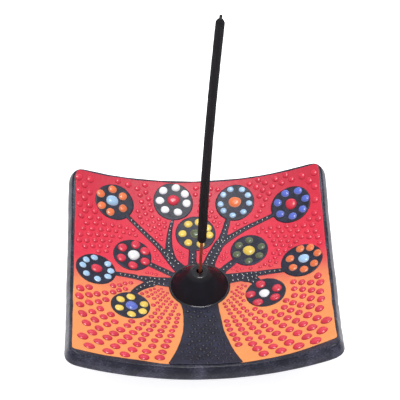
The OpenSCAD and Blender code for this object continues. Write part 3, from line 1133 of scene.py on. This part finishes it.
@dataclass
class DropSet(SubAssembly):
    """Every drop of one node, each on the coat that it fell on."""

    bowl: Bowl
    hand: Hand
    node: str
    form: DropForm = DropForm()
    nearly: float = 0.004

    def build(self) -> list[Part]:
        """Reads where the drops stand and lets each settle a little differently."""
        chance = random.Random(self.node)
        points: list[np.ndarray] = []
        faces: list[Sequence[int]] = []
        crown: list[float] = []
        tone: list[float] = []
        for drop in self._drops():
            first = sum(len(p) for p in points)
            body, heights = self._settled(drop, chance)
            points.append(body)
            crown += heights
            tone += [chance.random()] * len(body)
            faces += self._faces(first)
        values = {"crown": np.array(crown), "tone": np.array(tone)}
        values["wet"] = np.full(len(tone), self.form.wet)
        name = self.node.replace("_petals", "_petal_drops").replace("_centre", "_centre_drop")
        name = name if name != self.node else f"{self.node}_raised"
        return [Part(name, self.node, Shape(np.vstack(points), faces, values))]

    def _drops(self) -> list[Drop]:
        """The node's drops, as the rim of each solid gives them."""
        found = []
        top = np.array([0, 0, self.bowl.centre_z])
        for solid in CadMesh(self.node).islands():
            reach = np.linalg.norm(solid - top, axis=1)
            rim = solid[reach > reach.max() - self.nearly]
            middle = rim.mean(axis=0)
            radius = float(np.linalg.norm(rim - middle, axis=1).max())
            plan = self.hand.moved(middle[None, :2])
            centre = self.bowl.points(plan, self.bowl.face_r - reach.max())[0]
            up = (top - centre) / np.linalg.norm(top - centre)
            found.append(Drop(centre, up, radius * self.form.spread))
        return found

    def _settled(self, drop: Drop, chance: random.Random) -> tuple[np.ndarray, list[float]]:
        """The points of one drop.

        Args:
            drop: The drop.
            chance: Where its small differences come from.

        Returns:
            Its points, ring by ring from the rim to the crown, and the height of each as a
            share of the drop's.
        """
        side = np.cross(drop.up, [0.0, 1.0, 0.0])
        side /= np.linalg.norm(side)
        front = np.cross(drop.up, side)
        turn = np.arange(self.form.sides) * TURN / self.form.sides
        phases = [chance.uniform(0, TURN) for _ in range(3)]
        lobes = sum(np.cos(k * turn + p) / (k - 1) for k, p in zip((2, 3, 4), phases))
        radius = drop.radius * (1 + self.form.wobble * lobes)
        rise = drop.radius * self.form.rise * chance.uniform(0.88, 1.12)
        lean = chance.uniform(0, TURN)
        slump = drop.radius * self.form.slump * chance.random()
        lean_way = (side * math.cos(lean) + front * math.sin(lean)) * slump
        spokes = np.outer(np.cos(turn), side) + np.outer(np.sin(turn), front)
        bed = drop.centre + spokes * radius[:, None] * self.form.bed_share - drop.up * self.form.bed
        rings, heights = [bed], [0.0] * len(turn)
        for share in self.form.stations:
            height = self.form.height(share)
            shift = lean_way * (1 - share**2) + drop.up * rise * height
            rings.append(drop.centre + spokes * radius[:, None] * share + shift)
            heights += [height] * len(turn)
        tip = drop.centre + lean_way + drop.up * rise * self.form.height(0)
        return np.vstack([*rings, tip[None]]), [*heights, self.form.height(0)]

    def _faces(self, first: int) -> list[Sequence[int]]:
        """The faces of one drop.

        Args:
            first: The number of its first point.

        Returns:
            The faces, with the bed as one polygon.
        """
        sides = self.form.sides
        faces: list[Sequence[int]] = [tuple(first + k for k in range(sides))[::-1]]
        for ring in range(len(self.form.stations)):
            low = first + ring * sides
            for k in range(sides):
                ahead = (k + 1) % sides
                faces.append((low + k, low + ahead, low + sides + ahead, low + sides + k))
        low = first + len(self.form.stations) * sides
        faces += [(low + k, low + (k + 1) % sides, low + sides) for k in range(sides)]
        return faces


# ---------- Clay pieces ----------


def loft(rings: list[np.ndarray], ends: tuple[np.ndarray, np.ndarray] | None = None) -> Shape:
    """A closed mesh over rings that follow each other.

    Args:
        rings: Rings of equal count; each runs anticlockwise seen from the first end.
        ends: A point that closes each end; without them the last ring joins the first.

    Returns:
        The mesh.
    """
    sides = len(rings[0])
    pairs = list(zip(range(len(rings)), range(1, len(rings))))
    if ends is None:
        pairs.append((len(rings) - 1, 0))
    faces: list[Sequence[int]] = []
    for upper, lower in pairs:
        a, b = upper * sides, lower * sides
        for k in range(sides):
            ahead = (k + 1) % sides
            faces.append((a + k, b + k, b + ahead, a + ahead))
    points = np.vstack(rings)
    if ends is not None:
        last, base = len(points), (len(rings) - 1) * sides
        points = np.vstack([points, ends[0][None], ends[1][None]])
        faces += [(last, k, (k + 1) % sides) for k in range(sides)]
        faces += [(base + (k + 1) % sides, base + k, last + 1) for k in range(sides)]
    return Shape(points, faces)


def eased(start: np.ndarray, corner: np.ndarray, end: np.ndarray, steps: int) -> list[np.ndarray]:
    """Rings that round a corner, from one ring to another.

    Args:
        start: The ring before the corner.
        corner: The ring that the corner would be.
        end: The ring after it.
        steps: How many rings.

    Returns:
        The rings, with both ends.
    """
    shares = np.linspace(0, 1, steps)
    return [(1 - t) ** 2 * start + 2 * t * (1 - t) * corner + t**2 * end for t in shares]


@dataclass
class ClayDish(SubAssembly):
    """The square dish: a slab of clay pressed over a ball, its edges softened by hand."""

    bowl: Bowl
    rim_round: float = 1.7
    foot_round: float = 1.5
    wander: float = 0.30
    shake: float = 0.10
    belly: float = 0.22
    step: float = 1.2
    wall_rings: int = 6
    rim_rings: int = 9
    heel_rings: int = 8
    face_rings: int = 14
    face_hub: float = 0.04
    under_rings: int = 16
    hand_marks: float = 0.16
    foot_wear: float = 0.62
    edge_wear: float = 0.16
    plain_wear: float = 0.10

    def build(self) -> list[Part]:
        """Lofts the dish from the middle of its face, over the rim, to its foot."""
        cad = CadMesh("dish")
        loop = max(cad.face_loops(), key=len)
        outline = relaxed(resampled(loop, self.step), 2)
        out = outwards(outline)
        drift = unevenness(outline, 17.0) * self.wander + unevenness(outline, 5.0, 4.0) * self.shake
        outline = outline + out * drift[:, None]
        steep = cad.steepness()
        sloped = cad.points[cad.triangles][:, :, 2].max(axis=1) > self.belly
        under = Bowl(*cad.sphere((steep < -0.6) & sloped))
        foot_r = math.sqrt(under.face_r**2 - under.centre_z**2)

        inner = outline - out * self.rim_round
        shares = np.sin(np.linspace(self.face_hub, 1, self.face_rings) * math.pi / 2)
        face = [self.bowl.points(inner * share, 0.0) for share in shares]
        top = self.bowl.points(outline, 0.0)
        down = (top - [0, 0, self.bowl.centre_z]) / self.bowl.face_r
        thick = under.face_r - self.bowl.face_r
        bottom = top + down * thick
        wall_top, wall_foot = top + down * self.rim_round, bottom - down * self.foot_round
        rim = eased(face[-1], top, wall_top, self.rim_rings)[1:]
        wall = self._wall(wall_top, wall_foot, out)
        tucked = bottom[:, :2] - out * self.foot_round
        heel = eased(wall_foot, bottom, under.points(tucked, 0.0), self.heel_rings)[1:]
        belly = self._underside(tucked, under, foot_r)
        ends = (self.bowl.points(np.zeros((1, 2)), 0.0)[0], np.zeros(3))
        rings = [*face, *rim, *wall, *heel, *belly]
        shape = loft(rings, ends)
        shape.values["wear"] = self._wear(rings)
        return [Part("clay_dish", "dish", shape)]

    def _wall(self, top: np.ndarray, foot: np.ndarray, out: np.ndarray) -> list[np.ndarray]:
        """The edge of the slab, cut with a wire and wiped with a wet finger."""
        rings = []
        for share in np.linspace(0, 1, self.wall_rings + 1)[1:]:
            ring = top + (foot - top) * share
            push = self.belly * math.sin(math.pi * share)
            push = push + unevenness(ring, 7.0, 9.0) * self.hand_marks * math.sin(math.pi * share)
            rings.append(ring + np.column_stack([out * push[:, None], np.zeros(len(out))]))
        return rings

    def _underside(self, start: np.ndarray, under: Bowl, foot_r: float) -> list[np.ndarray]:
        """The back of the dish, down to the flat that is rubbed on it."""
        ring_dir = start / np.linalg.norm(start, axis=1)[:, None]
        rings = []
        for share in np.linspace(0, 1, self.under_rings + 1)[1:]:
            plan = start * (1 - share) + ring_dir * foot_r * share
            marks = unevenness(plan, 11.0, 2.0) * self.hand_marks * math.sin(math.pi * share)
            points = under.points(plan, 0.0)
            points[:, 2] = np.maximum(points[:, 2] + marks, 0.0)
            rings.append(points)
        for share in (0.985, 0.9, 0.66, 0.33):
            plan = ring_dir * foot_r * share
            rings.append(np.column_stack([plan, np.zeros(len(plan))]))
        return rings

    def _wear(self, rings: list[np.ndarray]) -> np.ndarray:
        """How far the paint has rubbed off: most round the foot, a little on sharp edges."""
        edge = self.rim_rings - 1 + self.wall_rings + self.heel_rings - 1
        belly = self.under_rings - 1
        levels = np.full(len(rings), self.foot_wear)
        levels[:self.face_rings + edge + belly] = self.plain_wear
        levels[self.face_rings:self.face_rings + edge] = self.edge_wear
        return np.r_[np.repeat(levels, len(rings[0])), 0.0, self.foot_wear]


def turned(profile: np.ndarray, sides: int) -> list[np.ndarray]:
    """Rings about the Z axis.

    Args:
        profile: Radius and height of each ring.
        sides: Points in a ring.

    Returns:
        The rings.
    """
    turn = np.arange(sides) * TURN / sides
    return [np.column_stack([r * np.cos(turn), r * np.sin(turn), np.full(sides, z)])
            for r, z in profile]


@dataclass
class Socket(SubAssembly):
    """The pierced cone that holds the stick, and the slip that seals it to the face."""

    bowl: Bowl
    sides: int = 144
    lip: float = 0.45
    shoulder_depth: float = 1.0
    hollow: float = -0.25
    flank_rings: int = 25
    lip_rings: int = 6
    cup: float = 0.12
    hand_marks: float = 0.10
    bead_sides: int = 16
    bead_wobble: float = 0.14
    groove: float = 0.12

    def build(self) -> list[Part]:
        """Turns the socket and lays the slip round it."""
        return [self._cone(), self._slip()]

    def _cone(self) -> Part:
        """The cone: the hole's floor and wall, its lip, the flat top, the flank and the bed."""
        solid = CadMesh("stick_socket").points
        radius = np.hypot(solid[:, 0], solid[:, 1])
        top = solid[:, 2].max()
        hole_r = radius[solid[:, 2] > top - 0.01].min()
        floor = solid[np.abs(radius - hole_r) < 0.02, 2].min()
        outer = (radius > hole_r + 1) & (solid[:, 2] > top - self.shoulder_depth)
        line = np.unique(np.round(np.column_stack([radius, solid[:, 2]])[outer], 2), axis=0)
        shoulder = line[-1]
        base = np.array([radius.max(), self._face_at(radius.max(keepdims=True))[0]])
        steps = np.linspace(0, 1, self.flank_rings + 1)[1:]
        flank = shoulder + (base - shoulder) * steps[:, None]
        way = (base - shoulder) / np.linalg.norm(base - shoulder)
        flank -= np.outer(np.sin(math.pi * steps) * self.hollow, [-way[1], way[0]])
        turn = np.linspace(0, math.pi / 2, self.lip_rings)
        lip = np.column_stack([hole_r + self.lip * (1 - np.cos(turn)),
                               top - self.lip * (1 - np.sin(turn))])
        flat = [[hole_r + self.lip + 0.5, top - self.cup / 2], [line[0, 0] - 0.4, top - self.cup / 3]]
        well = [[hole_r - 0.25, floor], [hole_r, floor + 0.25], [hole_r, (floor + top) / 2]]
        bed = [[base[0] - 0.1, base[1] - 0.4], [base[0] * 0.6, floor - 0.7]]
        profile = np.vstack([well, lip, flat, self._rounded(line), flank, bed])
        rings = turned(profile, self.sides)
        shaped = []
        for ring, (r, z) in zip(rings, profile):
            freedom = float(rise_to(np.array((r - hole_r - self.lip) / 2.5)))
            marks = unevenness(ring, 6.0, 5.0) * self.hand_marks * freedom
            shaped.append(ring * (1 + marks / max(r, 1))[:, None] ** [1, 1, 0])
        ends = (np.array([0, 0, floor]), np.array([0, 0, floor - 0.7]))
        shape = loft(shaped, ends)
        reach = np.hypot(shape.points[:, 0], shape.points[:, 1])
        shape.values["wet"] = 0.5 * (1 - rise_to((reach - shoulder[0]) / 1.5))
        return Part("gloss_socket", "stick_socket", shape)

    def _face_at(self, radius: np.ndarray) -> np.ndarray:
        """Height of the dish's face at distances from the Z axis."""
        return self.bowl.points(np.column_stack([radius, 0 * radius]), 0.0)[:, 2]

    @staticmethod
    def _rounded(line: np.ndarray) -> np.ndarray:
        """A profile line with its corners eased, its ends where they were."""
        fine = np.vstack([line[k] + (line[k + 1] - line[k]) * t
                          for k in range(len(line) - 1) for t in (0, 0.5)] + [line[-1]])
        for _ in range(3):
            fine[1:-1] = (fine[:-2] + 2 * fine[1:-1] + fine[2:]) / 4
        return fine

    def _slip(self) -> Part:
        """The bead of slip, wiped round with a fingertip."""
        solid = CadMesh("socket_ring").points
        radius = np.hypot(solid[:, 0], solid[:, 1])
        inner, outer = radius.min(), radius.max()
        thick = outer - inner
        turn = np.arange(self.sides) * TURN / self.sides
        around = np.column_stack([np.cos(turn), np.sin(turn)])
        low = self.bowl.points(around * inner, 0.0)[:, 2]
        swell = 1 + self.bead_wobble * unevenness(around, 0.35, 6.0)
        rings = []
        for angle in np.arange(self.bead_sides) * TURN / self.bead_sides:
            notch = 1 - self.groove * math.exp(-((angle - math.pi / 3) / 0.3) ** 2)
            reach = thick * swell * notch
            plan = around * (inner - reach * math.cos(math.pi + angle))[:, None]
            rings.append(np.column_stack([plan, low + reach * math.sin(angle)]))
        shape = loft(rings[::-1])
        shape.values["wet"] = np.ones(len(shape.points))
        return Part("slip_ring", "socket_ring", shape)


# ---------- Incense stick ----------


@dataclass
class IncenseStick(SubAssembly):
    """The bamboo rod and the charcoal paste on it, bowed a little by drying."""

    bow: float = 1.0
    sides: int = 36
    core_sides: int = 24
    ring_step: float = 0.7
    grain: float = 0.035
    lumps: float = 0.07
    slant: float = 0.45
    taper: float = 1.5
    fibre: float = 0.035

    def build(self) -> list[Part]:
        """Sets out the stick's axis from the frame and builds both pieces along it."""
        axis = np.array(frame["joints"][0]["axis"], float)
        self.along = axis / np.linalg.norm(axis)
        side = np.array([1.0, 0, 0]) - self.along * self.along[0]
        self.side = side / np.linalg.norm(side)
        self.front = np.cross(self.along, self.side)
        core = CadMesh("bamboo_core").points
        reach = core @ self.along
        self.foot = core[reach < reach.min() + 0.01].mean(axis=0)
        self.length = float(reach.max() - reach.min())
        mouth_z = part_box("stick_socket")[1].z / MM
        self.mouth = (mouth_z - self.foot[2]) / self.along[2]
        radius = float(self._polar(core)[1].max())
        return [self._core(radius), self._paste(radius)]

    def _polar(self, points: np.ndarray) -> tuple[np.ndarray, np.ndarray]:
        """How far along the stick points lie, and how far from its axis."""
        reach = (points - self.foot) @ self.along
        return reach, np.linalg.norm(points - self.foot - np.outer(reach, self.along), axis=1)

    def _ring(self, reach: np.ndarray | float, radius: np.ndarray | float, sides: int) -> np.ndarray:
        """A ring of points round the bowed axis.

        Args:
            reach: How far along the stick each point lies.
            radius: How far from the axis each point lies.
            sides: How many points.

        Returns:
            The points.
        """
        turn = np.arange(sides) * TURN / sides
        reach = np.broadcast_to(np.asarray(reach, float), (sides,))
        radius = np.broadcast_to(np.asarray(radius, float), (sides,))
        share = np.clip((reach - self.mouth) / (self.length - self.mouth), 0, 1)
        middle = self.foot + np.outer(reach, self.along)
        middle = middle - np.outer(np.sin(math.pi * share) * self.bow, self.side)
        spokes = np.outer(np.cos(turn), self.side) + np.outer(np.sin(turn), self.front)
        return middle + spokes * radius[:, None]

    def _core(self, radius: float) -> Part:
        """The rod, with fibres along it and softened ends."""
        stations = np.arange(self.length - 0.25, 0.2, -self.ring_step * 2)
        turn = np.arange(self.core_sides) * TURN / self.core_sides
        around = np.column_stack([np.cos(turn), np.sin(turn)])
        rings = [self._ring(self.length - 0.02, radius * 0.7, self.core_sides)]
        for reach in stations:
            place = np.column_stack([around * 3.2, np.full(len(turn), reach / 30)])
            split = unevenness(place, 1.0, 3.0) * self.fibre
            rings.append(self._ring(reach, radius * (1 + split), self.core_sides))
        rings.append(self._ring(0.05, radius * 0.85, self.core_sides))
        ends = (self._ring(self.length, 0, 1)[0], self._ring(0.0, 0, 1)[0])
        shape = loft(rings, ends)
        to_tip = self.length - self._polar(shape.points)[0]
        shape.values["soot"] = 1 - rise_to((to_tip - 2.2) / 1.5)
        return Part("bamboo_rod", "bamboo_core", shape, Body.STICK)

    def _paste(self, core_r: float) -> Part:
        """The paste: a rounded lower end, a slanting worn tip, and grains all over."""
        reach, radius = self._polar(CadMesh("incense_coating").points)
        start, end = reach.min(), reach.max()
        lower = radius[reach < (start + end) / 2].max()
        upper = radius[reach > (start + end) / 2].max()
        turn = np.arange(self.sides) * TURN / self.sides
        around = np.column_stack([np.cos(turn), np.sin(turn)])
        ends = np.array([0.0, 0.08, 0.25, 0.5, 0.8, 1.15, 1.6, 2.1])
        middle = np.arange(start + 2.6, end - 2.6, self.ring_step)
        stations = np.r_[start + ends, middle, (end - ends)[::-1]]
        rings = []
        for at in stations[::-1]:
            body = lower + (upper - lower) * (at - start) / (end - start)
            foot = math.sqrt(max(0.0, 1 - (1 - min((at - start) / self.taper, 1)) ** 2))
            tip = min((end - at) / self.taper, 1) ** 0.5
            place = np.column_stack([around * body, np.full(self.sides, at)])
            rough = unevenness(place, 0.45, 1.0) * self.grain + unevenness(place, 4.0, 8.0) * self.lumps
            span = (body - core_r) * foot * tip
            skew = self.slant * (1 - rise_to(np.array((end - at) / 6))) * tip
            shifted = at - skew * (1 + np.cos(turn)) / 2
            rings.append(self._ring(shifted, core_r + span + rough * foot * tip, self.sides))
        bore = [self._ring(at, core_r - 0.03, self.sides) for at in (start, (start + end) / 2, end)]
        return Part("incense_paste", "incense_coating", loft([*rings, *bore]), Body.STICK)


# ---------- Studio ----------


@dataclass(frozen=True)
class Softbox:
    """A soft light that looks at the dish: where it hangs, how large it is, how bright."""

    name: str
    place: tuple[float, float, float]
    size: tuple[float, float]
    radiance: float


@dataclass
class Studio:
    """Plain pale floor, plain soft light and the camera."""

    azimuth: float = -1.76
    elevation: float = 44.17
    distance: float = 0.91958
    lens: float = 173.81
    aim_side: float = -0.00024
    aim_rise: float = 0.04135
    floor_half: float = 4.0
    gap: float = 0.0002
    sky: float = 0.50
    aim: Vector = field(default_factory=lambda: Vector((0, 0, 0.01)))
    lights: tuple[Softbox, ...] = (
        Softbox("overhead", (0.04, 0.10, 1.1), (0.36, 0.36), 18.0),
        Softbox("back_bank", (0.0, 1.1, 0.75), (1.0, 0.3), 1.6),
    )

    def build(self, bowl: Bowl) -> None:
        """Sets the floor, the lights and the camera.

        Args:
            bowl: The dish's face, which the camera is aimed from.
        """
        self._floor()
        self._world()
        for light in self.lights:
            self._light(light)
        self._camera(Vector((0, 0, (bowl.centre_z - bowl.face_r) * MM)))
        bpy.context.scene.view_settings.view_transform = "Standard"

    def _floor(self) -> None:
        """Lays the board just under the foot."""
        half = self.floor_half
        mesh = bpy.data.meshes.new("floor")
        square = [(x * half, y * half, -self.gap) for x, y in ((-1, -1), (1, -1), (1, 1), (-1, 1))]
        mesh.from_pydata(square, [], [(0, 1, 2, 3)])
        mesh.materials.append(PaleFloor().material("pale_floor"))
        floor = bpy.data.objects.new("floor", mesh)
        bpy.context.scene.collection.objects.link(floor)

    def _world(self) -> None:
        """Lights the room evenly."""
        world = bpy.data.worlds.new("studio")
        world.use_nodes = True
        backdrop = world.node_tree.nodes["Background"]
        backdrop.inputs["Color"].default_value = (1.0, 1.0, 1.0, 1.0)
        backdrop.inputs["Strength"].default_value = self.sky
        bpy.context.scene.world = world

    def _light(self, light: Softbox) -> None:
        """Hangs one softbox.

        Args:
            light: The softbox.
        """
        lamp = bpy.data.lights.new(light.name, "AREA")
        lamp.shape = "RECTANGLE"
        lamp.size, lamp.size_y = light.size
        lamp.energy = light.radiance * math.pi * light.size[0] * light.size[1]
        holder = bpy.data.objects.new(light.name, lamp)
        bpy.context.scene.collection.objects.link(holder)
        place = Vector(light.place)
        holder.location = place
        holder.rotation_euler = (self.aim - place).to_track_quat("-Z", "Y").to_euler()

    def _camera(self, bottom: Vector) -> None:
        """Sets the camera, which looks down at the dish over its front edge.

        Args:
            bottom: The lowest point of the dish's face.
        """
        turn, tilt = math.radians(self.azimuth), math.radians(self.elevation)
        back = Vector((math.sin(turn) * math.cos(tilt), -math.cos(turn) * math.cos(tilt), math.sin(tilt)))
        right = Vector((math.cos(turn), math.sin(turn), 0))
        up = back.cross(right)
        lens = bpy.data.cameras.new("camera")
        lens.lens = self.lens
        lens.clip_start, lens.clip_end = 0.05, 20
        camera = bpy.data.objects.new("camera", lens)
        camera.location = bottom + back * self.distance - right * self.aim_side + up * self.aim_rise
        camera.rotation_euler = Matrix((right, up, back)).transposed().to_euler()
        bpy.context.scene.collection.objects.link(camera)
        bpy.context.scene.camera = camera


def corners(box: tuple[Vector, Vector]) -> list[list[float]]:
    """A box's two corners as plain lists of numbers."""
    return [list(corner) for corner in box]


def main() -> None:
    """Builds and dresses the holder, from the clay up, and sets the studio round it."""
    logging.basicConfig(level=logging.INFO, format="%(message)s")
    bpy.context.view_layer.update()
    bowl, hand = Bowl.of_dish(), Hand()
    Studio().build(bowl)
    bench = Workbench(frame["record"])
    flowers = sum(name.endswith("_disc") for name in frame["nodes"])
    petal, middle = DropForm(rise=0.34, dimple=0.16), DropForm(rise=0.34, dimple=0.10)
    tiny = DropForm(rise=0.38, stations=(1.0, 0.9, 0.7, 0.4), sides=14, spread=1.7, wet=1.0)
    knob = DropForm(rise=0.46, spread=1.12, wet=0.0)
    groups: list[SubAssembly] = [
        ClayDish(bowl),
        Socket(bowl),
        PaintedGround(bowl, hand),
        PaintedTree(bowl, hand, flowers),
        DropSet(bowl, hand, "bark_dots", knob),
        DropSet(bowl, hand, "limb_dots", tiny),
        DropSet(bowl, hand, "back_dots"),
        DropSet(bowl, hand, "front_dots"),
    ]
    for number in range(1, flowers + 1):
        groups.append(DropSet(bowl, hand, f"flower_{number:02d}_petals", petal))
        groups.append(DropSet(bowl, hand, f"flower_{number:02d}_centre", middle))
    groups.append(IncenseStick())
    for group in groups:
        group.dress(bench)


if __name__ == "__main__":
    main()
